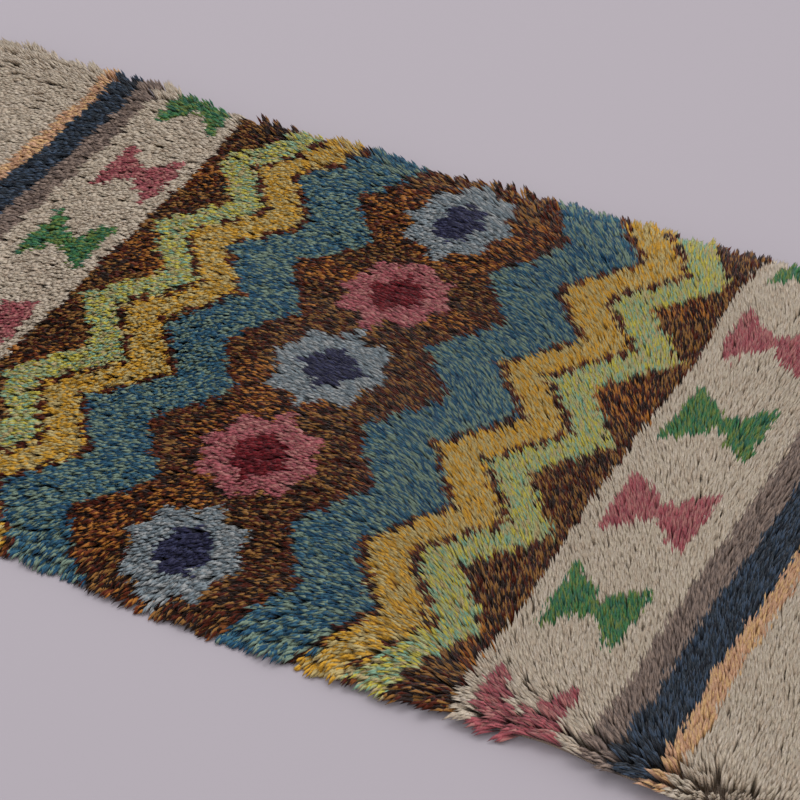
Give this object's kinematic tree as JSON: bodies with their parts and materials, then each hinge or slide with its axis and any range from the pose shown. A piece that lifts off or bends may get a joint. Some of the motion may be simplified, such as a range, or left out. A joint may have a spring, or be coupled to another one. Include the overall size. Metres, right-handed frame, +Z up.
{
  "type": "hand-knotted rug",
  "caption": "Flat hand-knotted wool rug with a long shaggy pile that leans over, a lumpy crown and uneven locks of yarn all round its rim.",
  "frame": {"origin": "on the floor, at the middle of the rug", "axes": "+Z up, +X along the rug's length (the warp) towards the end where the pile stands up, +Y across its width"},
  "size_m": [1.4662, 0.766, 0.0273],
  "materials": {
    "pile_wool": "long cut wool pile in mixed yarns"
  },
  "bodies": {
    "root": {"knotted_rug": "pile_wool"}
  },
  "joints": []
}
